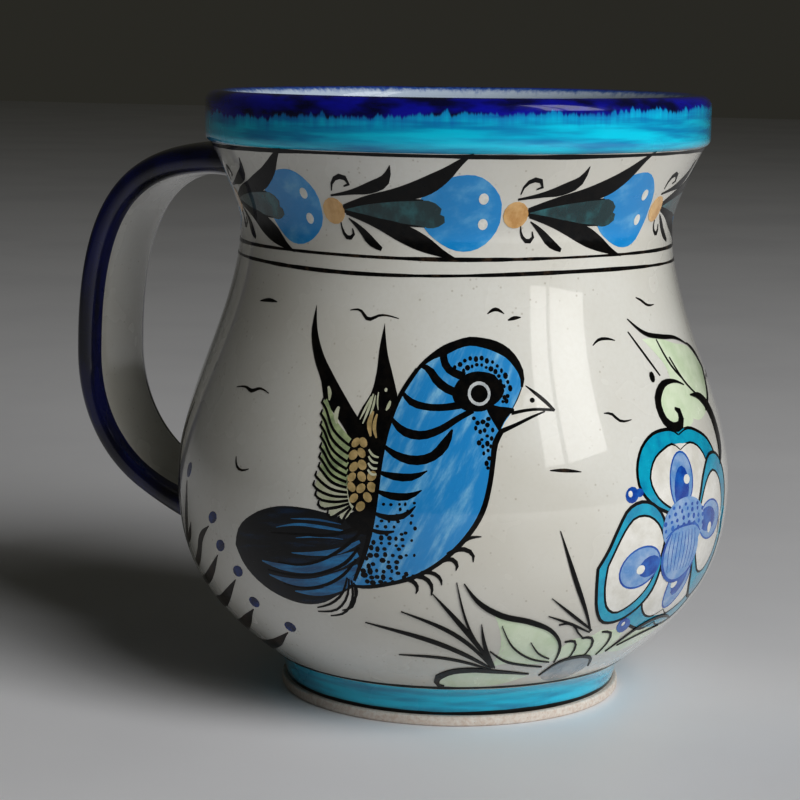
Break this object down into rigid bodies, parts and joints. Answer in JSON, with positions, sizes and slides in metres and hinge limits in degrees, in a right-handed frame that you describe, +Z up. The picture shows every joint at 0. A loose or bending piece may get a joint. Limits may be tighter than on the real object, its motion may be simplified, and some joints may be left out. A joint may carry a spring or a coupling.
{
  "type": "mug",
  "caption": "Pot-bellied stoneware mug with a waisted neck, an upright collar, a turned foot ring and a pulled strap handle, glazed and painted by hand.",
  "frame": {"origin": "centre of the foot ring's underside, on the mug's axis", "axes": "+Z up along the mug's axis; the handle points along -X"},
  "size_m": [0.1185, 0.0964, 0.104],
  "materials": {
    "clay": "matte",
    "bare_clay": "matte",
    "white_glaze": "gloss",
    "grey_glaze": "gloss",
    "turquoise_glaze": "gloss",
    "cobalt_glaze": "gloss",
    "black_paint": "gloss",
    "blue_paint": "gloss",
    "green_paint": "gloss",
    "ochre_paint": "gloss"
  },
  "bodies": {
    "root": {"clay_body": "clay", "foot_ring": "bare_clay", "handle_strap": "clay", "upper_slip_joint": "clay", "lower_slip_joint": "clay", "liner_glaze": "white_glaze", "body_glaze": "grey_glaze", "collar_turquoise_glaze": "turquoise_glaze", "lip_cobalt_glaze": "cobalt_glaze", "foot_band_glaze": "turquoise_glaze", "base_glaze": "grey_glaze", "handle_cobalt_glaze": "cobalt_glaze", "handle_cream_glaze": "grey_glaze"}
  },
  "joints": []
}
